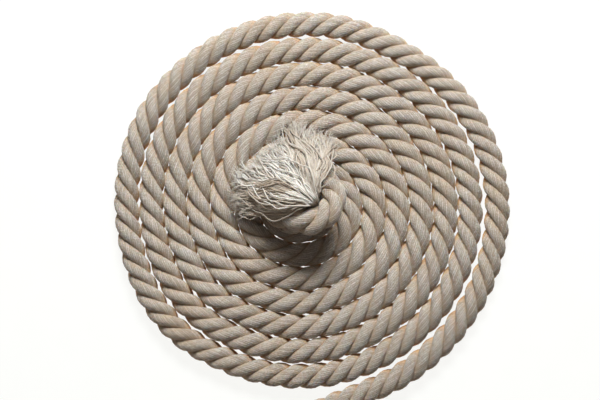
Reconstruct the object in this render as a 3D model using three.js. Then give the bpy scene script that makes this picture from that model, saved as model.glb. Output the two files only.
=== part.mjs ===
// A three-strand laid cotton rope, 12 mm thick and about 3 m long, coiled flat in one layer.
// Its inner end rises in the middle of the coil, is tied in an overhand knot that sits on the
// innermost turns, and frays into a tassel. Its outer end leaves the coil, runs along it and
// ends in the same knot and tassel. Millimetres, +Z up; the coil lies on the plane z = 0.
//
// The rope's three strands are three solids that lie side by side along the rope's own route.
// Each strand is made in three stretches: the coil, the inner end and the outer end. The yarns
// of each frayed strand end are one fanned bundle. The helical lay isn't part of these solids.
import * as THREE from 'three';

// Rope
const ROPE_DIAMETER = 12;
const KNOT_DIAMETER = 10.8; // of the two ends past the coil, drawn thinner where they are knotted
const CLEARANCE = 0.3; // between solids that touch
const STRAND_NAMES = ['a', 'b', 'c'];
const STRAND_ANGLE = THREE.MathUtils.degToRad(360 / STRAND_NAMES.length);
const FACET_ANGLE = STRAND_ANGLE / 3; // each strand shows three outer facets, nine round the rope
const REST_HEIGHT = (ROPE_DIAMETER / 2) * Math.cos(FACET_ANGLE / 2); // of the rope's centre

// Coil: a flat spiral, wound counter-clockwise inwards seen from above
const COIL_START_ANGLE = -58; // degrees from +X, where the outer end leaves the coil
const COIL_END_ANGLE = 292; // degrees from +X, where the inner end leaves the coil
const COIL_WHOLE_TURNS = 6;
const COIL_INNER_RADIUS = 13.2; // of the rope's centre
const COIL_PITCH = 12.3; // from turn to turn
const COIL_SLACK = 2.6; // how far the outermost turn lies off a tight spiral
const COIL_SLACK_POWER = 8; // how fast that slack fades towards the middle
const COIL_OVAL = 1; // how far the turns are wider in X and narrower in Y
const COIL_WAVES = [
  // where the turns bulge out of that spiral or are drawn in, most in the outermost turn
  { angle: 222, reach: 17, height: 2.8, power: 1.5 },
  { angle: 272, reach: 28, height: 1.3, power: 1 },
  { angle: 56, reach: 18, height: -2.6, power: 6 },
  { angle: 130, reach: 18, height: -0.7, power: 8 },
  { angle: 180, reach: 15, height: -1.2, power: 3 },
  { angle: 8, reach: 16, height: 0.6, power: 8 },
];
const POINTS_PER_TURN = 24;

// The coil's centre seen from the middle of the whole rope's outline
const COIL_CENTRE = new THREE.Vector3(-4.2, 22.5, 0);

// Overhand knot: half of its route, from the middle of the knot to one end, in knot units.
// The other half is the same, turned over about the knot's own Y axis.
const KNOT_UNIT = 11.2; // millimetres from centre to centre of two stretches that touch
const HALF_KNOT = [
  [0, 0.95, 0],
  [0.5, 0.93, 0.1],
  [1.04, 0.75, 0.3],
  [1.36, 0.3, 0.54],
  [1.35, -0.22, 0.76],
  [1.01, -0.7, 0.88],
  [0.48, -0.97, 0.83],
  [-0.07, -0.93, 0.6],
  [-0.43, -0.6, 0.25],
  [-0.48, -0.19, -0.18],
  [-0.4, 0.08, -0.7],
];

// Inner knot: it stands on the coil with its end upwards
const INNER_KNOT_CENTRE = new THREE.Vector3(-1.1, 3.4, 27.6);
const INNER_RISER = [
  [8.4, -9.8, 5.7],
  [11, -4.8, 5.8],
  [10.8, 1.2, 6.1],
  [7.2, 6.2, 6.9],
  [1.4, 7.9, 9],
  [-3.2, 7.7, 12.8],
];

// Outer end: the tail runs off the coil, and its knot lies on its side
const OUTER_KNOT_CENTRE = new THREE.Vector3(-40, -124.5, 16.2);
const TAIL = [
  [44.5, -91.4, REST_HEIGHT],
  [32.5, -97, REST_HEIGHT],
  [19.4, -102.3, REST_HEIGHT],
  [6, -108, REST_HEIGHT],
  [-6, -114, REST_HEIGHT + 0.6],
  [-16.5, -120.5, REST_HEIGHT + 2.6],
  [-24.5, -126, REST_HEIGHT + 5],
];

// Frayed yarns: the middle line of each bundle, its root and tip sizes
const BUNDLE_ROOT_RADIUS = 1.5;
const BUNDLE_FLARE = 1.6; // how late a bundle widens along its length
const BUNDLE_SIDES = 8;
const BUNDLE_STEPS = 7;
const INNER_BUNDLES = [
  {
    line: [[1.5, 2.6, 37.6], [0.2, 2.2, 39.8], [-8, 0, 39.8], [-19, -1.6, 31.4], [-34.5, -0.6, 15.5]],
    halfWidth: 6,
    halfHeight: 2.8,
  },
  {
    line: [[1.5, 6.6, 36.8], [0.7, 7.6, 39.4], [-5, 12, 39.8], [-14.5, 17.4, 32.4], [-27.5, 23, 15.8]],
    halfWidth: 9.2,
    halfHeight: 3,
  },
  {
    line: [[5.1, 5.4, 36.6], [5, 7, 39.6], [5.2, 14.2, 40.6], [5, 23.6, 33.5], [4.6, 37, 16]],
    halfWidth: 9.4,
    halfHeight: 3,
  },
];
const OUTER_BUNDLES = [
  {
    line: [
      [-50.2, -117.9, 14.4],
      [-52, -117.4, 14.6],
      [-60, -115.5, 12.5],
      [-72, -114, 6.5],
      [-93, -112.5, 3],
    ],
    halfWidth: 5.6,
    halfHeight: 2.8,
  },
  {
    line: [
      [-51.6, -120.4, 18],
      [-53.4, -120.7, 18],
      [-60, -122.6, 16],
      [-74, -124.6, 7.5],
      [-97, -125.4, 3],
    ],
    halfWidth: 5.6,
    halfHeight: 2.8,
  },
  {
    line: [
      [-50.4, -123.2, 13.6],
      [-52.2, -123.9, 13.6],
      [-60, -129.5, 11.5],
      [-72, -134.6, 6.5],
      [-92, -138.4, 3],
    ],
    halfWidth: 5.6,
    halfHeight: 2.8,
  },
];

const COTTON = 0xa59585;
const FRAYED_COTTON = 0xd4c7bb;

function vectors(points) {
  return points.map(([x, y, z]) => new THREE.Vector3(x, y, z));
}

// How far the coil's waves move the rope outwards at an angle, in the part of the coil still to go
function coilWave(degrees, part) {
  let height = 0;
  for (const wave of COIL_WAVES) {
    const apart = THREE.MathUtils.euclideanModulo(degrees - wave.angle + 180, 360) - 180;
    height += wave.height * Math.exp(-((apart / wave.reach) ** 2)) * part ** wave.power;
  }
  return height;
}

// The coil's centre line, from its outer end to its inner end
function coilPoints() {
  const sweep = COIL_END_ANGLE - COIL_START_ANGLE + 360 * COIL_WHOLE_TURNS;
  const steps = Math.round((sweep / 360) * POINTS_PER_TURN);
  const turnsInAll = sweep / 360;
  const points = [];
  for (let i = 0; i <= steps; i += 1) {
    const turns = turnsInAll * (1 - i / steps); // still to go to the inner end
    const degrees = COIL_END_ANGLE - 360 * turns;
    const angle = THREE.MathUtils.degToRad(degrees);
    const slack = COIL_SLACK * (turns / turnsInAll) ** COIL_SLACK_POWER;
    const wave = slack + COIL_OVAL * Math.cos(2 * angle) + coilWave(degrees, turns / turnsInAll);
    const radius = COIL_INNER_RADIUS + COIL_PITCH * turns + wave;
    points.push(new THREE.Vector3(radius * Math.cos(angle), radius * Math.sin(angle), REST_HEIGHT));
  }
  return points;
}

// A knot's centre line from where the rope enters it to where the frayed end leaves it
function knotPoints(centre, turn) {
  const half = vectors(HALF_KNOT);
  const entering = half.slice().reverse();
  const leaving = half.slice(1).map((p) => new THREE.Vector3(-p.x, p.y, -p.z));
  return [...entering, ...leaving].map((p) => p.multiplyScalar(KNOT_UNIT).applyMatrix4(turn).add(centre));
}

// A stretch of the route between two of its points, whose steps follow the route's own points
class Stretch extends THREE.Curve {
  constructor(points, first, last) {
    super();
    this.route = new THREE.CatmullRomCurve3(points);
    this.first = first / (points.length - 1);
    this.last = last / (points.length - 1);
  }

  getPoint(t, target = new THREE.Vector3()) {
    return this.route.getPoint(this.first + (this.last - this.first) * t, target);
  }

  getPointAt(u, target) {
    return this.getPoint(u, target);
  }

  getTangentAt(u, target) {
    return this.getTangent(u, target);
  }
}

// One strand's third of the rope's section, its middle at that angle from the section's X axis
function strandSection(diameter, angle) {
  const radius = diameter / 2;
  const apex = CLEARANCE / 2 / Math.sin(STRAND_ANGLE / 2);
  const edge = radius - CLEARANCE;
  const cornerX = apex + edge * Math.cos(STRAND_ANGLE / 2);
  const cornerY = edge * Math.sin(STRAND_ANGLE / 2);
  const outline = [new THREE.Vector2(apex, 0), new THREE.Vector2(cornerX, -cornerY)];
  for (const side of [-1, 1]) {
    const facet = (side * FACET_ANGLE) / 2;
    outline.push(new THREE.Vector2(radius * Math.cos(facet), radius * Math.sin(facet)));
  }
  outline.push(new THREE.Vector2(cornerX, cornerY));
  const centre = new THREE.Vector2();
  return new THREE.Shape(outline.map((p) => p.rotateAround(centre, angle)));
}

function strandGeometry(stretch, steps, diameter, angle) {
  return new THREE.ExtrudeGeometry(strandSection(diameter, angle), { steps, extrudePath: stretch });
}

// A bundle of loose yarns: a round frustum, bent along its line and flattened towards its tip
function bundleGeometry({ line, halfWidth, halfHeight }) {
  const curve = new THREE.CatmullRomCurve3(vectors(line));
  const geometry = new THREE.CylinderGeometry(1, 1, 1, BUNDLE_SIDES, BUNDLE_STEPS);
  const place = geometry.attributes.position;
  const vertex = new THREE.Vector3();
  for (let i = 0; i < place.count; i += 1) {
    vertex.fromBufferAttribute(place, i);
    const along = vertex.y + 0.5;
    const forward = curve.getTangent(along);
    const side = new THREE.Vector3(forward.y, -forward.x, 0).normalize();
    const up = new THREE.Vector3().crossVectors(side, forward);
    const width = THREE.MathUtils.lerp(BUNDLE_ROOT_RADIUS, halfWidth, along ** BUNDLE_FLARE);
    const height = THREE.MathUtils.lerp(BUNDLE_ROOT_RADIUS, halfHeight, Math.sqrt(along));
    const point = curve.getPoint(along);
    point.addScaledVector(side, vertex.x * width).addScaledVector(up, vertex.z * height);
    place.setXYZ(i, point.x, point.y, point.z);
  }
  return geometry;
}

function addPiece(group, name, geometry, color) {
  const material = new THREE.MeshStandardMaterial({ color, roughness: 0.95, metalness: 0 });
  const mesh = new THREE.Mesh(geometry, material);
  mesh.name = name;
  group.add(mesh);
}

const upright = new THREE.Matrix4();
const onItsSide = new THREE.Matrix4().makeBasis(
  new THREE.Vector3(0, 1, 0),
  new THREE.Vector3(0, 0, -1),
  new THREE.Vector3(-1, 0, 0),
);

const coil = coilPoints();
const innerEnd = [...vectors(INNER_RISER), ...knotPoints(INNER_KNOT_CENTRE, upright)];
const outerEnd = [...vectors(TAIL), ...knotPoints(OUTER_KNOT_CENTRE, onItsSide)];
const route = [...outerEnd.slice().reverse(), ...coil, ...innerEnd];
const coilFirst = outerEnd.length;
const coilLast = coilFirst + coil.length - 1;
const routeLast = route.length - 1;
const outerGap = CLEARANCE / route[coilFirst].distanceTo(route[coilFirst - 1]);
const innerGap = CLEARANCE / route[coilLast].distanceTo(route[coilLast + 1]);
const END_STEPS_PER_POINT = 2;

const rope = new THREE.Group();
rope.position.copy(COIL_CENTRE);
STRAND_NAMES.forEach((name, i) => {
  const angle = i * STRAND_ANGLE;
  const coilSteps = coilLast - coilFirst;
  const coilStretch = new Stretch(route, coilFirst, coilLast);
  const coilStrand = strandGeometry(coilStretch, coilSteps, ROPE_DIAMETER, angle);
  addPiece(rope, `strand_${name}_coil`, coilStrand, COTTON);

  const innerSteps = innerEnd.length * END_STEPS_PER_POINT;
  const innerStretch = new Stretch(route, coilLast + innerGap, routeLast);
  const innerStrand = strandGeometry(innerStretch, innerSteps, KNOT_DIAMETER, angle);
  addPiece(rope, `strand_${name}_inner_end`, innerStrand, COTTON);

  // the outer end is run from the coil outwards, so its section is seen from the other side
  const outerSteps = outerEnd.length * END_STEPS_PER_POINT;
  const outerStretch = new Stretch(route, coilFirst - outerGap, 0);
  const outerStrand = strandGeometry(outerStretch, outerSteps, KNOT_DIAMETER, -angle);
  addPiece(rope, `strand_${name}_outer_end`, outerStrand, COTTON);

  addPiece(rope, `inner_yarns_${name}`, bundleGeometry(INNER_BUNDLES[i]), FRAYED_COTTON);
  addPiece(rope, `outer_yarns_${name}`, bundleGeometry(OUTER_BUNDLES[i]), FRAYED_COTTON);
});

export default rope;
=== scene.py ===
"""A three-strand cotton rope, coiled flat on a pale table, with a knotted and frayed end on top.

Every length is in metres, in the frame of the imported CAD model. The rope's route is the one the CAD
strands follow. Each strand is a mesh of twisted yarn ridges that winds round that route, pressed
flat where it meets another pass of the rope or the table. The frayed ends are separate yarns.
"""

import math

import bpy
import numpy as np
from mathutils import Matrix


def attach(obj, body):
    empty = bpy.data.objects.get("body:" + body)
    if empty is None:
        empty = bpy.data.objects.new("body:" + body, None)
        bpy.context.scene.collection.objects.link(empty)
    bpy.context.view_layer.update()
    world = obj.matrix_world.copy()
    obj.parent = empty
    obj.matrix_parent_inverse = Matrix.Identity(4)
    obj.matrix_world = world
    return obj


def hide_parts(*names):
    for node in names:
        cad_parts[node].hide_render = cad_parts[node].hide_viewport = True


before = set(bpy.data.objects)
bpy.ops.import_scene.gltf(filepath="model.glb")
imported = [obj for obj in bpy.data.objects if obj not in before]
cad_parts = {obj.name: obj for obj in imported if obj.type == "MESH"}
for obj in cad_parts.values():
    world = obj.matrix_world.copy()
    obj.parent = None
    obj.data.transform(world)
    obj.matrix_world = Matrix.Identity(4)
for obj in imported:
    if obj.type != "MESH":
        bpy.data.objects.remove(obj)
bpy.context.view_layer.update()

RANDOM = np.random.default_rng(326)

# ---------------------------------------------------------------- rope route, as in the CAD model
ROPE_DIAMETER = 0.012
REST_HEIGHT = ROPE_DIAMETER / 2 * math.cos(math.radians(20))
COIL_START_ANGLE = -58  # degrees, where the outer end leaves the coil
COIL_END_ANGLE = 292
COIL_WHOLE_TURNS = 6
COIL_INNER_RADIUS = 0.0132
COIL_PITCH = 0.0123
COIL_SLACK = 0.0026
COIL_SLACK_POWER = 8
COIL_OVAL = 0.001
COIL_WAVES = [  # angle, reach in degrees, height, power
    (222, 17, 0.0028, 1.5),
    (272, 28, 0.0013, 1),
    (56, 18, -0.0026, 6),
    (130, 18, -0.0007, 8),
    (180, 15, -0.0012, 3),
    (8, 16, 0.0006, 8),
]
POINTS_PER_TURN = 24
COIL_CENTRE = np.array([-0.0042, 0.0225, 0.0])

KNOT_UNIT = 0.0112
HALF_KNOT = [
    (0, 0.95, 0),
    (0.5, 0.93, 0.1),
    (1.04, 0.75, 0.3),
    (1.36, 0.3, 0.54),
    (1.35, -0.22, 0.76),
    (1.01, -0.7, 0.88),
    (0.48, -0.97, 0.83),
    (-0.07, -0.93, 0.6),
    (-0.43, -0.6, 0.25),
    (-0.48, -0.19, -0.18),
    (-0.4, 0.08, -0.7),
]
INNER_KNOT_CENTRE = (-0.0011, 0.0034, 0.0276)
INNER_RISER = [
    (0.0084, -0.0098, 0.0057),
    (0.011, -0.0048, 0.0058),
    (0.0108, 0.0012, 0.0061),
    (0.0072, 0.0062, 0.0069),
    (0.0014, 0.0079, 0.009),
    (-0.0032, 0.0077, 0.0128),
]
OUTER_KNOT_CENTRE = (-0.04, -0.1245, 0.0162)
TAIL = [
    (0.0445, -0.0914, REST_HEIGHT),
    (0.0325, -0.097, REST_HEIGHT),
    (0.0194, -0.1023, REST_HEIGHT),
    (0.006, -0.108, REST_HEIGHT),
    (-0.006, -0.114, REST_HEIGHT + 0.0006),
    (-0.0165, -0.1205, REST_HEIGHT + 0.0026),
    (-0.0245, -0.126, REST_HEIGHT + 0.005),
]
UPRIGHT = np.eye(3)
ON_ITS_SIDE = np.array([(0, 1, 0), (0, 0, -1), (-1, 0, 0)])  # rows: the knot's own X, Y and Z

# ---------------------------------------------------------------- strands and yarns
STRANDS = ("a", "b", "c")
# one whole left-handed turn of the strands: shorter in the outer turns, tightest in the knots
LAY_LENGTHS = [(0.040, 0.0350), (0.098, 0.0288)]  # distance from the coil's centre, lay
KNOT_LAY = 0.0245
LAY_PHASE = 0.6
KNOTTED = (0.090, 0.115)  # from a tip: knotted as far as the first, laid as in the coil past the second
# the soft rope's thickness before its neighbours press it flat, by distance from the coil's centre
GIRTHS = [(0.030, 0.0143), (0.078, 0.0136), (0.090, 0.0130)]
KNOT_GIRTH = 0.0139
GIRTH_UNEVEN = 0.0001
TIP_GIRTH = 0.55  # of the girth, where the strands end
TIP_LENGTH = 0.012  # over which the rope narrows to that
STRAND_CENTRE = 0.238  # of the girth, from the rope's axis to a strand's
STRAND_HALF_HEIGHT = 0.262
STRAND_HALF_WIDTH = 0.29
STRAND_UNEVEN = 0.010  # of the girth, by which a strand's half height and half width vary
STRAND_WEDGE = math.radians(59.2)
CREVICE_FROM = math.radians(34)  # from a strand's crest, where the shade between strands begins
YARNS_ROUND = 22  # that show round a strand
COLUMNS_PER_YARN = 3
YARN_TWIST = 1.75  # turns of the yarns in the strand for each turn of the strand
RIDGE_DEPTH = 0.00027
RING_STEP = 0.0022
PRESS_GAP = 0.00003
PRESS_REACH = 1.15 * KNOT_GIRTH  # within which another pass of the rope can press
SAME_PASS = 0.017  # along the rope, up to which it is still the same pass
# against the next pass, warm shade is painted
AGAINST = (-0.0012, 0.0)  # how far past the half way plane to the next pass counts as against it
# near it and low down, a warm orange glow is painted
NEAR = (-0.0045, -0.0010)  # and as near it
TABLE_CLEARANCE = 0.00004

YARNS_LOOSE = 190  # in each strand's frayed end
LOCKS = 20  # that each strand's loose yarns cling together in
YARN_RADIUS = 0.00032
YARN_POINTS = 26
YARN_SIDES = 6
YARN_STATIONS = (0.05, 0.11, 0.18, 0.27, 0.37, 0.48, 0.59, 0.70, 0.81, 0.91, 1.0)  # parts of its reach
LOCK_WAVE = 0.0010  # how far a lock swings from side to side
OWN_WAVE = 0.00050  # and each yarn in it
STRAY_SHARE = 0.25  # of the loose yarns, which bow out of their lock
STRAY_BOW = 0.0032
TIP_CURL = 0.0018
CURL_FROM = 0.62  # of a yarn's reach
PLY_RELIEF = 0.13  # of a loose yarn's radius
PLY_PITCH = 0.0016  # along a loose yarn, for one turn of its two plies
TIP_PLIES = 3  # that spring out of a loose yarn's tip
TIP_PLY_LENGTHS = (0.0012, 0.0038)
TIP_PLY_RADII = (0.00020, 0.00008)  # where they leave the yarn, and at their own tips
TIP_PLY_POINTS = 7
TIP_PLY_SIDES = 4


# ================================================================ route
def coil_points():
    sweep = COIL_END_ANGLE - COIL_START_ANGLE + 360 * COIL_WHOLE_TURNS
    steps = round(sweep / 360 * POINTS_PER_TURN)
    turns_in_all = sweep / 360
    turns = turns_in_all * (1 - np.arange(steps + 1) / steps)
    degrees = COIL_END_ANGLE - 360 * turns
    angle = np.radians(degrees)
    part = turns / turns_in_all
    radius = COIL_INNER_RADIUS + COIL_PITCH * turns + COIL_OVAL * np.cos(2 * angle)
    radius += COIL_SLACK * part**COIL_SLACK_POWER
    for wave_angle, reach, wave_height, power in COIL_WAVES:
        apart = (degrees - wave_angle + 180) % 360 - 180
        radius += wave_height * np.exp(-((apart / reach) ** 2)) * part**power
    height = np.full_like(angle, REST_HEIGHT)
    return np.stack([radius * np.cos(angle), radius * np.sin(angle), height], axis=1)


def knot_points(centre, turn):
    half = np.array(HALF_KNOT, float)
    leaving = half[1:] * (-1, 1, -1)
    return np.concatenate([half[::-1], leaving]) * KNOT_UNIT @ turn + centre


def route_points():
    outer = np.concatenate([np.array(TAIL), knot_points(OUTER_KNOT_CENTRE, ON_ITS_SIDE)])
    inner = np.concatenate([np.array(INNER_RISER), knot_points(INNER_KNOT_CENTRE, UPRIGHT)])
    return np.concatenate([outer[::-1], coil_points(), inner]) + COIL_CENTRE


def smooth_line(points, step):
    """A centripetal Catmull-Rom curve through the points, as even steps of about that length."""
    ends = [2 * points[0] - points[1]], [2 * points[-1] - points[-2]]
    p = np.concatenate([ends[0], points, ends[1]])
    pieces = []
    for a, b, c, d in zip(p[:-3], p[1:-2], p[2:-1], p[3:]):
        t1, t2, t3 = (max(math.sqrt(np.linalg.norm(v)), 1e-6) for v in (b - a, c - b, d - c))
        start = ((b - a) / t1 - (c - a) / (t1 + t2) + (c - b) / t2) * t2
        stop = ((c - b) / t2 - (d - b) / (t2 + t3) + (d - c) / t3) * t2
        t = np.linspace(0, 1, max(4, math.ceil(np.linalg.norm(c - b) / step * 2)), endpoint=False)[:, None]
        curve = b + start * t + (3 * (c - b) - 2 * start - stop) * t**2
        pieces.append(curve + (2 * (b - c) + start + stop) * t**3)
    pieces.append(points[-1:])
    return even_steps(np.concatenate(pieces), step)


def even_steps(line, step):
    along = np.concatenate([[0], np.cumsum(np.linalg.norm(np.diff(line, axis=0), axis=1))])
    at = np.linspace(0, along[-1], math.ceil(along[-1] / step) + 1)
    return np.stack([np.interp(at, along, line[:, k]) for k in range(3)], axis=1)


def unit(v):
    return v / np.maximum(np.linalg.norm(v, axis=-1, keepdims=True), 1e-12)


def frames(line):
    """The line's tangents, and two cross directions that turn as little as they can along it."""
    forward = unit(np.gradient(line, axis=0))
    side = np.zeros_like(line)
    side[0] = unit(np.cross(forward[0], (0.0, 0.0, 1.0)))
    for i in range(1, len(line)):
        kept = side[i - 1] - forward[i] * (side[i - 1] @ forward[i])
        side[i] = kept / np.linalg.norm(kept)
    return forward, side, np.cross(forward, side)


def smooth_step(x, low, high):
    t = np.clip((x - low) / (high - low), 0, 1)
    return t * t * (3 - 2 * t)


def slow_noise(length, wave, rows=1, samples=400):
    """Smooth random values from -1 to 1 along a length, one row for each thing that varies."""
    knots = RANDOM.uniform(-1, 1, (rows, math.ceil(length / wave) + 3))
    at = np.linspace(0, 1, samples) * (knots.shape[1] - 1)
    low = np.minimum(at.astype(int), knots.shape[1] - 2)
    part = at - low
    part = part * part * (3 - 2 * part)
    table = knots[:, low] * (1 - part) + knots[:, low + 1] * part
    return lambda x: np.stack([np.interp(x, np.linspace(0, length, samples), row) for row in table])


# ================================================================ mesh making
UV_PER_METRE = 1000  # UVs run in millimetres along a strand or yarn, and count yarns across it


def make_mesh(name, points, faces, uv=None, values=None):
    mesh = bpy.data.meshes.new(name)
    mesh.from_pydata(points.reshape(-1, 3).tolist(), [], faces)
    if uv is not None:
        layer = mesh.uv_layers.new(name="yarn")
        layer.data.foreach_set("uv", np.asarray(uv, np.float32).ravel())
    for key, value in (values or {}).items():
        attribute = mesh.attributes.new(key, "FLOAT", "POINT")
        attribute.data.foreach_set("value", np.asarray(value, np.float32).ravel())
    mesh.polygons.foreach_set("use_smooth", np.ones(len(mesh.polygons), bool))
    mesh.update()
    piece = bpy.data.objects.new(name, mesh)
    bpy.context.scene.collection.objects.link(piece)
    return piece


def tube_faces(tubes, rings, sides):
    """Quads of many closed tubes whose points are in [tube, ring, side] order, with end caps."""
    ring = np.arange(rings - 1)[:, None] * sides
    side = np.arange(sides)[None, :]
    after = (side + 1) % sides
    quads = np.stack([ring + side, ring + after, ring + sides + after, ring + sides + side], axis=2)
    quads = quads.reshape(-1, 4)
    first_cap = np.arange(sides)[::-1]
    last_cap = np.arange(sides) + (rings - 1) * sides
    faces = []
    for tube in range(tubes):
        base = tube * rings * sides
        faces += (quads + base).tolist()
        faces.append((first_cap + base).tolist())
        faces.append((last_cap + base).tolist())
    return faces


def tube_uv(tubes, rings, sides, across, along):
    """UVs for tube_faces: U runs from 0 to across round the tube, and V is along[tube, ring]."""
    u = np.arange(sides + 1) * across / sides
    uv = []
    for tube in range(tubes):
        lower, upper = along[tube, :-1, None], along[tube, 1:, None]
        u0, u1 = u[None, :-1], u[None, 1:]
        shape = (rings - 1, sides)
        corners = [(u0, lower), (u1, lower), (u1, upper), (u0, upper)]
        quads = [np.stack(np.broadcast_arrays(a, b, np.zeros(shape))[:2], axis=2) for a, b in corners]
        uv.append(np.stack(quads, axis=2).reshape(-1, 2))
        uv.append(np.stack([u[:sides][::-1], np.full(sides, along[tube, 0])], axis=1))
        uv.append(np.stack([u[:sides], np.full(sides, along[tube, -1])], axis=1))
    return np.concatenate(uv)


# ================================================================ rope
class Rope:
    """The rope's rings: where each is, how it lies, how thick the rope is and how far it has turned."""

    def __init__(self):
        fine = smooth_line(route_points(), RING_STEP / 4)
        forward, side, up = frames(fine)
        self.line = fine
        self.length = float(np.linalg.norm(np.diff(fine, axis=0), axis=1).sum())
        picked = slice(None, None, 4)
        self.place, self.forward = fine[picked], forward[picked]
        self.side, self.up = side[picked], up[picked]
        self.along = np.linspace(0, self.length, len(fine))[picked]
        from_tip = np.minimum(self.along, self.length - self.along)
        knotted = 1 - smooth_step(from_tip, *KNOTTED)
        uneven = slow_noise(self.length, 0.02)(self.along)[0]
        from_centre = np.linalg.norm((self.place - COIL_CENTRE)[:, :2], axis=1)
        girth = np.interp(from_centre, *zip(*GIRTHS))
        self.girth = girth + (KNOT_GIRTH - girth) * knotted + GIRTH_UNEVEN * uneven
        self.girth *= TIP_GIRTH + (1 - TIP_GIRTH) * smooth_step(from_tip, 0, TIP_LENGTH)
        lay = np.interp(from_centre, *zip(*LAY_LENGTHS))
        lay += (KNOT_LAY - lay) * knotted
        turned = np.concatenate([[0], np.cumsum(np.diff(self.along) / (lay[1:] + lay[:-1]) * 2)])
        self.turned = -(2 * math.pi * turned + LAY_PHASE)


def strand_sections(rope):
    """The points of every strand in [ring, strand, column] order, and how deep each one lies in the
    crevice between strands, the mask for the painted shade there.
    """
    columns = YARNS_ROUND * COLUMNS_PER_YARN
    column = np.arange(columns)
    ridge = np.where(column % COLUMNS_PER_YARN == 0, -1.0, 0.4)
    points = np.zeros((len(rope.place), len(STRANDS), columns, 3))
    depth = np.zeros(points.shape[:3])
    for k in range(len(STRANDS)):
        swell = slow_noise(rope.length, 0.011, YARNS_ROUND)(rope.along)
        uneven = slow_noise(rope.length, 0.016, 2)(rope.along)
        swell = np.repeat(swell, COLUMNS_PER_YARN, axis=0).T
        angle = 2 * math.pi * column / columns - YARN_TWIST * rope.turned[:, None]
        high = rope.girth[:, None] * (STRAND_HALF_HEIGHT + STRAND_UNEVEN * uneven[0][:, None])
        wide = rope.girth[:, None] * (STRAND_HALF_WIDTH + STRAND_UNEVEN * uneven[1][:, None])
        bump = RIDGE_DEPTH * (ridge * (1 + 0.35 * swell) + 0.25 * swell)
        outward = rope.girth[:, None] * STRAND_CENTRE + (high + bump) * np.cos(angle)
        sideways = (wide + bump) * np.sin(angle)
        outward, sideways, pressed = keep_in_wedge(outward, sideways)
        turn = rope.turned[:, None] + 2 * math.pi * k / len(STRANDS)
        x = outward * np.cos(turn) - sideways * np.sin(turn)
        y = outward * np.sin(turn) + sideways * np.cos(turn)
        from_axis = x[..., None] * rope.side[:, None] + y[..., None] * rope.up[:, None]
        points[:, k] = rope.place[:, None] + from_axis
        # the mask for painted warm shade in the crevices between strands
        depth[:, k] = pressed
    return points, depth


def keep_in_wedge(outward, sideways):
    """Keeps a strand's section on its own side of its neighbours, and says how deep each point lies in the
    crevice, the mask for the painted shade there.
    """
    polar = np.arctan2(np.abs(sideways), outward)
    edge = np.array([math.cos(STRAND_WEDGE), math.sin(STRAND_WEDGE)])
    reach = np.maximum(outward * edge[0] + np.abs(sideways) * edge[1], 0.0002)
    out = polar > STRAND_WEDGE
    new_outward = np.where(out, reach * edge[0], outward)
    new_sideways = np.where(out, np.sign(sideways) * reach * edge[1], sideways)
    return new_outward, new_sideways, smooth_step(polar, CREVICE_FROM, STRAND_WEDGE)


def press_together(rope, points):
    """Flattens each ring's points against other passes of the rope, half way between the two.

    Returns two measures from 0 to 1 for each point: how far it lies against the next pass, the mask for
    painted warm shade where the turns meet, and how far it lies near it, the mask for a painted warm glow
    low down between them.
    """
    contact_shade = np.zeros(points.shape[:3])
    between = np.zeros(points.shape[:3])
    fine_along = np.linspace(0, rope.length, len(rope.line))
    for i, centre in enumerate(rope.place):
        close = np.abs(rope.line - centre).max(axis=1) < PRESS_REACH
        close &= np.abs(fine_along - rope.along[i]) > SAME_PASS
        others = rope.line[close]
        if not len(others):
            continue
        ring = points[i].reshape(-1, 3)
        gap = np.linalg.norm(ring[:, None] - others[None], axis=2)
        other = others[gap.argmin(axis=1)]
        away = other - centre
        distance = np.linalg.norm(away, axis=1, keepdims=True)
        away = away / distance
        over = ((ring - centre) * away).sum(axis=1, keepdims=True) - distance / 2 + PRESS_GAP
        points[i] = (ring - np.maximum(over, 0) * away).reshape(points[i].shape)
        contact_shade[i] = smooth_step(over, *AGAINST).reshape(contact_shade[i].shape)
        between[i] = smooth_step(over, *NEAR).reshape(between[i].shape)
    return contact_shade, between


def make_strands(rope, points, depth, contact_shade, between):
    rings, _, columns, _ = points.shape
    along = rope.along[None] * UV_PER_METRE
    strands = []
    for k, name in enumerate(STRANDS):
        uv = tube_uv(1, rings, columns, YARNS_ROUND, along)
        strand = make_mesh(
            f"laid_strand_{name}",
            points[:, k],
            tube_faces(1, rings, columns),
            uv,
            {"crevice": depth[:, k], "contact_shade": contact_shade[:, k], "between": between[:, k]},
        )
        strands.append(strand)
    return strands


# ================================================================ frayed ends
# Each bundle: its heading in degrees, how far it reaches, how much further its left side reaches,
# how much higher its right side lies, how light its yarns are painted for the light or shade the
# bundle lies in, how they crowd towards its left side, its half widths by distance from the rope's
# end, and how high it lies on the bundles under it. Left and right are as seen from the rope's end.
INNER_TASSEL = {
    "bundles": [
        {
            "heading": 178,
            "reach": 0.0330,
            "lean": -0.0020,
            "tilt": 0.0032,
            "tone": 0.46,
            "crowd": 1.0,
            "widths": [(0, 0.0012), (0.005, 0.0034), (0.010, 0.0074), (0.020, 0.0088), (0.038, 0.0060)],
            "lift": 0.0,
        },
        {
            "heading": 143,
            "reach": 0.0342,
            "lean": 0.0040,
            "tilt": -0.0004,
            "tone": 1.35,
            "crowd": 1.0,
            "widths": [(0, 0.0012), (0.005, 0.0030), (0.010, 0.0062), (0.020, 0.0122), (0.036, 0.0180)],
            "lift": 0.0030,
        },
        {
            "heading": 87,
            "reach": 0.0292,
            "lean": 0.0044,
            "tilt": 0.0,
            "tone": 0.66,
            "crowd": 1.7,
            "widths": [(0, 0.0012), (0.005, 0.0022), (0.010, 0.0040), (0.020, 0.0074), (0.034, 0.0114)],
            "lift": 0.0008,
        },
    ],
    # height of the pile's underside above the table, by distance from the rope's end
    "dome": [(0, 0.0368), (0.005, 0.0386), (0.010, 0.0380), (0.016, 0.0335), (0.024, 0.0238),
             (0.032, 0.0160), (0.040, 0.0128), (0.060, 0.0126)],
    "thickness": (0.0042, 0.0034),
}
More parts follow.
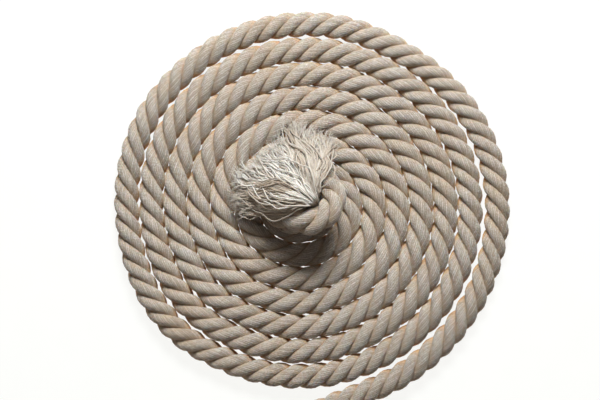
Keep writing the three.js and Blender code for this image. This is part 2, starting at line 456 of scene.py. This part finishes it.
OUTER_TASSEL = {
    "bundles": [
        {
            "heading": 177,
            "reach": 0.040,
            "lean": 0.0,
            "tilt": 0.0,
            "tone": 0.75,
            "crowd": 1.0,
            "widths": [(0, 0.0012), (0.010, 0.0050), (0.044, 0.0075)],
            "lift": 0.0,
        },
        {
            "heading": 189,
            "reach": 0.044,
            "lean": 0.0,
            "tilt": 0.0,
            "tone": 0.75,
            "crowd": 1.0,
            "widths": [(0, 0.0012), (0.010, 0.0050), (0.044, 0.0080)],
            "lift": 0.0012,
        },
        {
            "heading": 202,
            "reach": 0.042,
            "lean": 0.0,
            "tilt": 0.0,
            "tone": 0.75,
            "crowd": 1.0,
            "widths": [(0, 0.0012), (0.010, 0.0050), (0.044, 0.0080)],
            "lift": 0.0002,
        },
    ],
    "dome": [(0, 0.0150), (0.006, 0.0132), (0.014, 0.0082), (0.024, 0.0028), (0.034, 0.0006),
             (0.060, 0.0004)],
    "thickness": (0.0050, 0.0024),
}


def through(controls, count):
    """Uniform Catmull-Rom curves through [curve, control, xyz], sampled at count points each."""
    first = 2 * controls[:, :1] - controls[:, 1:2]
    last = 2 * controls[:, -1:] - controls[:, -2:-1]
    p = np.concatenate([first, controls, last], axis=1)
    at = np.linspace(0, controls.shape[1] - 1, count)
    i = np.minimum(at.astype(int), controls.shape[1] - 2)
    t = (at - i)[None, :, None]
    a, b, c, d = (p[:, i + n] for n in range(4))
    bend = (2 * a - 5 * b + 4 * c - d) * t**2 + (3 * b - a - 3 * c + d) * t**3
    return 0.5 * (2 * b + (c - a) * t + bend)


def yarn_points(lines, radius, sides, ply=0.0):
    """Tubes round many lines at once, [yarn, ring, side], with two plies twisted in if ply is set."""
    forward = unit(np.gradient(lines, axis=1))
    side = np.zeros_like(lines)
    side[:, 0] = unit(np.cross(forward[:, 0], (0.31, 0.83, 0.46)))
    for i in range(1, lines.shape[1]):
        kept = side[:, i - 1] - forward[:, i] * (side[:, i - 1] * forward[:, i]).sum(axis=1, keepdims=True)
        side[:, i] = unit(kept)
    up = np.cross(forward, side)
    angle = 2 * math.pi * np.arange(sides) / sides
    steps = np.linalg.norm(np.diff(lines, axis=1), axis=2)
    along = np.concatenate([np.zeros((len(lines), 1)), np.cumsum(steps, axis=1)], axis=1)
    spin = 2 * math.pi * along / PLY_PITCH
    size = radius[..., None] * (1 + ply * np.cos(2 * (angle[None, None] - spin[..., None])))
    ring = np.cos(angle)[:, None] * side[:, :, None] + np.sin(angle)[:, None] * up[:, :, None]
    return lines[:, :, None] + size[..., None] * ring, along


def bundle_lines(tassel, bundle, starts, out):
    """The middle lines of one strand's loose yarns, from inside the rope's end to their tips."""
    count = len(starts)
    centre = starts.mean(axis=0)
    heading = math.radians(bundle["heading"])
    ahead = np.array([math.cos(heading), math.sin(heading), 0])
    side = np.array([math.sin(heading), -math.cos(heading), 0])
    rank = np.argsort(np.argsort((starts - centre) @ side))
    lock = rank * LOCKS // count
    even = ((np.arange(LOCKS) + 0.5) / LOCKS) ** bundle["crowd"]
    across = (2 * even - 1 + RANDOM.normal(0, 0.05, LOCKS))[lock]
    across += RANDOM.normal(0, 1.5 / LOCKS, count)
    layer = 0.6 * RANDOM.uniform(0, 1, LOCKS)[lock] + 0.4 * RANDOM.uniform(0, 1, count)
    layer *= np.sqrt(np.clip(1.1 - across**2, 0.1, 1))
    reach = bundle["reach"] - bundle["lean"] * across
    reach += RANDOM.normal(0, 0.0011, LOCKS)[lock] + RANDOM.normal(0, 0.0014, count)
    lock_phase = RANDOM.uniform(0, 2 * math.pi, (2, LOCKS))[:, lock]
    lock_swing = RANDOM.uniform(0.5, 1.5, LOCKS)[lock]
    own_phase = RANDOM.uniform(0, 2 * math.pi, (2, count))
    stray = np.where(RANDOM.uniform(0, 1, count) < STRAY_SHARE, RANDOM.normal(0, STRAY_BOW, count), 0)
    curl = RANDOM.normal(0, TIP_CURL, (count, 2))
    controls = [starts - 0.0035 * out, starts + 0.0004 * out]
    for f in YARN_STATIONS:
        distance = reach * f
        width = np.interp(distance, *zip(*bundle["widths"]))
        grown = min(1.0, f / 0.4)
        sideways = across * width + stray * math.sin(math.pi * min(1, 1.1 * f))
        sideways += grown * LOCK_WAVE * lock_swing * np.sin(11 * f + lock_phase[0])
        sideways += grown * OWN_WAVE * np.sin(23 * f + own_phase[0])
        sideways += curl[:, 0] * max(0, f - CURL_FROM) / (1 - CURL_FROM)
        up = np.interp(distance, *zip(*tassel["dome"])) + bundle["lift"] * (1 - 0.5 * f)
        up += layer * np.interp(f, [0, 1], tassel["thickness"]) + YARN_RADIUS
        up += bundle["tilt"] * across * math.sin(math.pi * min(1, f))
        up += grown * 0.0005 * (1 + lock_swing * np.sin(10 * f + lock_phase[1]))
        up += grown * 0.00025 * np.sin(19 * f + own_phase[1])
        up += np.abs(stray) * 0.5 * math.sin(math.pi * f) + np.abs(curl[:, 1]) * max(0, f - 0.8) / 0.2
        place = centre + distance[:, None] * ahead + sideways[:, None] * side
        place[:, 2] = up
        place[:, :2] += (1 - smooth_step(f, 0.0, 0.3)) * (starts - centre)[:, :2]
        controls.append(place)
    return through(np.stack(controls, axis=1), YARN_POINTS), layer


def split_tips(lines):
    """The middle lines of the fine plies that spring out of each yarn's tip."""
    tip, before = lines[:, -1], lines[:, -3]
    run = unit(tip - before)
    tails = []
    for _ in range(TIP_PLIES):
        bend = RANDOM.normal(0, 1, run.shape) * (1, 1, 0.45)
        length = RANDOM.uniform(*TIP_PLY_LENGTHS, (len(run), 1))
        start = tip - 0.0016 * run
        middle = tip + 0.4 * length * run + 0.12 * length * bend
        stop = tip + length * run + 0.42 * length * bend
        stop[:, 2] = np.maximum(stop[:, 2], 0.0003)
        tails.append(through(np.stack([start, tip, middle, stop], axis=1), TIP_PLY_POINTS))
    return np.concatenate(tails)


def make_tassel(name, tassel, rope, sections, at_end):
    """One piece for each strand's loose yarns at one end of the rope."""
    ring = -2 if at_end else 1
    out = rope.forward[ring] if at_end else -rope.forward[ring]
    centres = sections[ring].mean(axis=1)
    headings = [math.radians(b["heading"]) for b in tassel["bundles"]]
    order = best_order(centres - rope.place[ring], headings)
    pieces = []
    for bundle, k in zip(tassel["bundles"], order):
        section = sections[ring, k]
        middle = section.mean(axis=0)
        spread = np.sqrt((np.arange(YARNS_LOOSE) + 0.5) / YARNS_LOOSE)
        column = (np.arange(YARNS_LOOSE) * 0.381966 % 1 * len(section)).astype(int)
        starts = middle + (section[column] - middle) * spread[:, None] * 0.9
        lines, layer = bundle_lines(tassel, bundle, starts, out)
        # each yarn's lightness: half chance, half painted shade that deepens low in the pile, times its
        # bundle's painted light
        shade = (0.5 * layer + 0.5 * RANDOM.uniform(0, 1, len(lines))) * bundle["tone"]
        taper = YARN_RADIUS * np.interp(np.linspace(0, 1, YARN_POINTS), [0, 0.8, 1], [0.9, 1.05, 0.9])
        size = taper[None] * RANDOM.uniform(0.85, 1.12, (len(lines), 1))
        yarns, along = yarn_points(lines, size, YARN_SIDES, PLY_RELIEF)
        tips = split_tips(lines)
        tip_size = np.broadcast_to(np.linspace(*TIP_PLY_RADII, tips.shape[1]), tips.shape[:2])
        frays, fray_along = yarn_points(tips, tip_size, TIP_PLY_SIDES)
        # the split tips are painted lighter than their yarns, a painted highlight
        groups = [(yarns, along, shade), (frays, fray_along, np.tile(shade, TIP_PLIES) + 0.25)]
        pieces.append(join_tubes(f"{name}_{STRANDS[len(pieces)]}", groups))
    return pieces


def best_order(offsets, headings):
    """Which strand feeds which bundle, so that the strands cross each other least."""
    orders = [(0, 1, 2), (0, 2, 1), (1, 0, 2), (1, 2, 0), (2, 0, 1), (2, 1, 0)]
    ways = np.array([(math.cos(h), math.sin(h), 0) for h in headings])
    return max(orders, key=lambda order: sum(offsets[k] @ ways[b] for b, k in enumerate(order)))


def join_tubes(name, groups):
    points, faces, uv, tone_and_painted_shade, base = [], [], [], [], 0
    for tubes, along, shade in groups:
        count, rings, sides, _ = tubes.shape
        tubes[..., 2] = np.maximum(tubes[..., 2], TABLE_CLEARANCE)
        points.append(tubes.reshape(-1, 3))
        faces += [[v + base for v in face] for face in tube_faces(count, rings, sides)]
        uv.append(tube_uv(count, rings, sides, 1, along * UV_PER_METRE))
        tone_and_painted_shade.append(np.repeat(shade, rings * sides))
        base += count * rings * sides
    values = {"yarn_tone_and_shade": np.concatenate(tone_and_painted_shade)}
    return make_mesh(name, np.concatenate(points), faces, np.concatenate(uv), values)


# ================================================================ materials
class Nodes:
    """Short calls for building one material's nodes."""

    def __init__(self, name):
        self.material = bpy.data.materials.new(name)
        self.material.use_nodes = True
        self.tree = self.material.node_tree
        self.shader = self.tree.nodes["Principled BSDF"]

    def add(self, kind, inputs=(), **settings):
        node = self.tree.nodes.new("ShaderNode" + kind)
        for key, value in settings.items():
            setattr(node, key, value)
        for key, value in dict(inputs).items():
            if isinstance(value, bpy.types.NodeSocket):
                self.tree.links.new(value, node.inputs[key])
            else:
                node.inputs[key].default_value = value
        return node

    def math(self, operation, a, b=0.0):
        return self.add("Math", {0: a, 1: b}, operation=operation).outputs[0]

    def mix(self, factor, a, b, blend="MIX"):
        node = self.add("Mix", data_type="RGBA", blend_type=blend)
        for socket, value in ((0, factor), (6, a), (7, b)):
            if isinstance(value, bpy.types.NodeSocket):
                self.tree.links.new(value, node.inputs[socket])
            else:
                node.inputs[socket].default_value = value
        return node.outputs[2]

    def ramp(self, value, low, high):
        """The value stretched so that low becomes 0 and high becomes 1."""
        node = self.add("MapRange", {0: value, 1: low, 2: high, 3: 0.0, 4: 1.0}, clamp=True)
        return node.outputs[0]

    def noise(self, vector, scale, detail=2.0, roughness=0.5):
        settings = {"Vector": vector, "Scale": scale, "Detail": detail, "Roughness": roughness}
        return self.add("TexNoise", settings).outputs["Fac"]

    def stretched(self, vector, x, y):
        return self.add("Mapping", {"Vector": vector, "Scale": (x, y, 1.0)}).outputs[0]

    def attribute(self, name):
        node = self.add("Attribute", attribute_name=name, attribute_type="GEOMETRY")
        return node.outputs["Fac"]

    def off_middle(self, value):
        """How far the value lies from one half."""
        return self.math("ABSOLUTE", self.math("SUBTRACT", value, 0.5))

    def link(self, source, socket):
        self.tree.links.new(source, self.shader.inputs[socket])


def cotton_finish(nodes, subsurface, depth):
    shader = nodes.shader.inputs
    shader["Metallic"].default_value = 0.0
    shader["IOR"].default_value = 1.4
    shader["Specular IOR Level"].default_value = 0.18
    shader["Sheen Weight"].default_value = 0.12
    shader["Sheen Roughness"].default_value = 0.6
    shader["Sheen Tint"].default_value = (1.0, 0.93, 0.84, 1)
    shader["Subsurface Weight"].default_value = subsurface
    shader["Subsurface Radius"].default_value = (1.0, 0.46, 0.20)
    shader["Subsurface Scale"].default_value = depth


def laid_cotton():
    """Yarns side by side, greyed a little unevenly, with painted shade in the yarn grooves, painted warm
    shade between strands and turns, and a painted warm glow low down from the table's light.
    """
    n = Nodes("laid_cotton")
    uv = n.add("UVMap", uv_map="yarn").outputs[0]
    place = n.add("TexCoord").outputs["Object"]
    across = n.add("SeparateXYZ", {0: uv}).outputs[0]
    along = n.add("SeparateXYZ", {0: uv}).outputs[1]
    which_yarn = n.math("FLOOR", across)
    wander = n.math("MULTIPLY", n.math("SUBTRACT", n.noise(place, 260.0, 3.0, 0.6), 0.5), 1.1)
    in_yarn = n.math("FRACT", n.math("ADD", across, wander))
    yarn_tone = n.add("TexWhiteNoise", {"W": which_yarn}, noise_dimensions="1D").outputs["Value"]
    fibres = n.noise(n.stretched(uv, 6.5, 0.8), 1.0, 4.0, 0.7)
    specks = n.noise(place, 1500.0, 2.0, 0.6)
    cloudy = n.noise(place, 42.0, 3.0, 0.55)
    patches = n.noise(place, 11.0, 2.0, 0.5)
    light = n.mix(n.ramp(cloudy, 0.3, 0.7), (0.610, 0.522, 0.435, 1), (0.692, 0.652, 0.610, 1))
    light = n.mix(n.ramp(patches, 0.35, 0.75), light, (0.615, 0.572, 0.525, 1))
    streak = n.mix(n.ramp(fibres, 0.28, 0.72), (0.55, 0.490, 0.43, 1), (1.22, 1.23, 1.25, 1))
    colour = n.mix(1.0, light, streak, "MULTIPLY")
    speck = n.mix(n.ramp(specks, 0.3, 0.7), (0.72, 0.68, 0.63, 1), (1.16, 1.17, 1.18, 1))
    colour = n.mix(1.0, colour, speck, "MULTIPLY")
    tone = n.mix(yarn_tone, (0.82, 0.80, 0.78, 1), (1.10, 1.10, 1.11, 1))
    colour = n.mix(1.0, colour, tone, "MULTIPLY")
    # painted shade in the grooves between yarns and between their plies
    groove_shade = n.ramp(n.off_middle(in_yarn), 0.32, 0.48)
    fine_groove_shade = n.ramp(n.off_middle(n.math("FRACT", n.math("MULTIPLY", in_yarn, 2.0))), 0.3, 0.5)
    groove_shade = n.math("MAXIMUM", groove_shade, n.math("MULTIPLY", fine_groove_shade, 0.5))
    colour = n.mix(n.math("MULTIPLY", groove_shade, 0.88), colour, (0.27, 0.190, 0.125, 1))
    # painted warm shade in the crevices between strands
    colour = n.mix(n.math("MULTIPLY", n.attribute("crevice"), 0.55), colour, (0.54, 0.365, 0.225, 1))
    # painted warm shade where one turn presses against the next
    colour = n.mix(n.math("MULTIPLY", n.attribute("contact_shade"), 0.52), colour, (0.61, 0.420, 0.240, 1))
    # painted warm glow low on the rope, for the table's light shining through the fibres
    height_above = n.add("SeparateXYZ", {0: place}).outputs[2]
    low = n.add("MapRange", {0: height_above, 1: 0.0085, 2: 0.0050, 3: 0.0, 4: 1.0}).outputs[0]
    colour = n.mix(low, colour, n.mix(1.0, colour, (1.05, 0.93, 0.80, 1), "MULTIPLY"))
    # a stronger painted orange glow where that low part lies near the next turn
    table_glow_near_turns = n.math("MULTIPLY", low, n.attribute("between"))
    colour = n.mix(table_glow_near_turns, colour, n.mix(1.0, colour, (1.18, 0.92, 0.62, 1), "MULTIPLY"))
    n.link(colour, "Base Color")
    rough = n.add("MapRange", {0: fibres, 1: 0.3, 2: 0.7, 3: 0.86, 4: 1.0}).outputs[0]
    n.link(rough, "Roughness")
    ply = n.math("SINE", n.math("MULTIPLY", n.math("ADD", along, n.math("MULTIPLY", in_yarn, 0.9)), 4.6))
    height = n.math("ADD", fibres, n.math("MULTIPLY", ply, 0.2))
    height = n.math("ADD", height, n.math("MULTIPLY", specks, 0.4))
    bump = n.add("Bump", {"Height": height, "Strength": 0.9, "Distance": 0.00045})
    n.link(bump.outputs[0], "Normal")
    cotton_finish(n, 0.28, 0.0022)
    return n.material


def frayed_cotton():
    """Single loose yarns, lighter than the laid rope, each with its own twist and a tone that mixes chance
    with painted shade, darker low in the pile and on bundles that face away from the light.
    """
    n = Nodes("frayed_cotton")
    uv = n.add("UVMap", uv_map="yarn").outputs[0]
    across = n.add("SeparateXYZ", {0: uv}).outputs[0]
    along = n.add("SeparateXYZ", {0: uv}).outputs[1]
    fibres = n.noise(n.stretched(uv, 7.0, 0.9), 1.0, 3.0, 0.6)
    # painted light and shade: each yarn's tone mixes chance with shade painted by its height in the pile
    # and its bundle's light
    tone_and_painted_shade = n.ramp(n.attribute("yarn_tone_and_shade"), 0.0, 0.9)
    colour = n.mix(tone_and_painted_shade, (0.410, 0.318, 0.235, 1), (0.745, 0.705, 0.655, 1))
    streak = n.mix(n.ramp(fibres, 0.25, 0.75), (0.80, 0.77, 0.73, 1), (1.08, 1.08, 1.08, 1))
    colour = n.mix(1.0, colour, streak, "MULTIPLY")
    n.link(colour, "Base Color")
    rough = n.add("MapRange", {0: fibres, 1: 0.3, 2: 0.7, 3: 0.84, 4: 1.0}).outputs[0]
    n.link(rough, "Roughness")
    twist = n.math("SINE", n.math("MULTIPLY", n.math("ADD", n.math("MULTIPLY", across, 0.8), along), 7.85))
    height = n.math("ADD", n.math("MULTIPLY", fibres, 0.8), n.math("MULTIPLY", twist, 0.25))
    bump = n.add("Bump", {"Height": height, "Strength": 0.5, "Distance": 0.0002})
    n.link(bump.outputs[0], "Normal")
    cotton_finish(n, 0.10, 0.0003)
    return n.material


# ================================================================ stage
PICTURE_WIDTH = 600 * 0.00052  # of the table, across the picture
CAMERA_HEIGHT = 1.0
TABLE_HALF = 6.0
VIEW_CENTRE = COIL_CENTRE + (-0.0021, 0.0030, 0)


def make_camera():
    data = bpy.data.cameras.new("camera")
    data.sensor_fit = "HORIZONTAL"
    data.sensor_width = 36
    data.lens = data.sensor_width * (CAMERA_HEIGHT - ROPE_DIAMETER / 2) / PICTURE_WIDTH
    data.clip_start = 0.01
    data.clip_end = 50
    camera = bpy.data.objects.new("camera", data)
    camera.location = (VIEW_CENTRE[0], VIEW_CENTRE[1], CAMERA_HEIGHT)
    bpy.context.scene.collection.objects.link(camera)
    bpy.context.scene.camera = camera


def make_floor():
    corners = TABLE_HALF * np.array([(-1, -1, 0), (1, -1, 0), (1, 1, 0), (-1, 1, 0)])
    floor = make_mesh("table", corners, [[0, 1, 2, 3]])
    n = Nodes("pale_table")
    speckle = n.noise(n.add("TexCoord").outputs["Object"], 60.0, 2.0)
    n.link(n.mix(speckle, (0.07, 0.07, 0.07, 1), (0.09, 0.09, 0.09, 1)), "Base Color")
    n.shader.inputs["Roughness"].default_value = 0.7
    n.shader.inputs["Emission Color"].default_value = (0.97, 0.97, 0.945, 1)
    n.shader.inputs["Emission Strength"].default_value = 0.93
    floor.data.materials.append(n.material)


def add_area(name, place, target, size, power, colour):
    data = bpy.data.lights.new(name, "AREA")
    data.shape = "RECTANGLE"
    data.size, data.size_y = size
    data.energy = power
    data.color = colour
    lamp = bpy.data.objects.new(name, data)
    place = np.array(place, float)
    toward = unit(np.array(target, float) - place)
    lamp.location = place
    pitch = math.acos(-toward[2])
    lamp.rotation_euler = (pitch, 0, math.atan2(-toward[0], toward[1]) if pitch > 1e-6 else 0)
    bpy.context.scene.collection.objects.link(lamp)


def make_lights():
    add_area("key", (0.03, 0.50, 0.56), (0, 0, 0), (0.32, 0.20), 8.3, (0.93, 0.98, 1.0))
    add_area("top_fill", (-0.3, -0.2, 1.9), (0, 0, 0), (1.2, 1.2), 2.5, (0.97, 0.985, 1.0))
    world = bpy.data.worlds.new("studio")
    bpy.context.scene.world = world
    world.use_nodes = True
    background = world.node_tree.nodes["Background"]
    background.inputs["Color"].default_value = (1.0, 0.93, 0.85, 1)
    background.inputs["Strength"].default_value = 0.065
    bpy.context.scene.view_settings.view_transform = "Standard"


# ================================================================ the scene
make_camera()
rope = Rope()
sections, depth = strand_sections(rope)
contact_shade, between = press_together(rope, sections)
sections[..., 2] = np.maximum(sections[..., 2], TABLE_CLEARANCE)
strands = make_strands(rope, sections, depth, contact_shade, between)
inner_tassel = make_tassel("inner_tassel", INNER_TASSEL, rope, sections, at_end=True)
outer_tassel = make_tassel("outer_tassel", OUTER_TASSEL, rope, sections, at_end=False)

laid, frayed = laid_cotton(), frayed_cotton()
for strand, letter in zip(strands, STRANDS):
    strand.data.materials.append(laid)
    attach(strand, "root")
    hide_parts(f"strand_{letter}_coil", f"strand_{letter}_inner_end", f"strand_{letter}_outer_end")
for end, tassel in (("inner", inner_tassel), ("outer", outer_tassel)):
    for bundle, letter in zip(tassel, STRANDS):
        bundle.data.materials.append(frayed)
        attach(bundle, "root")
        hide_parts(f"{end}_yarns_{letter}")

make_floor()
make_lights()
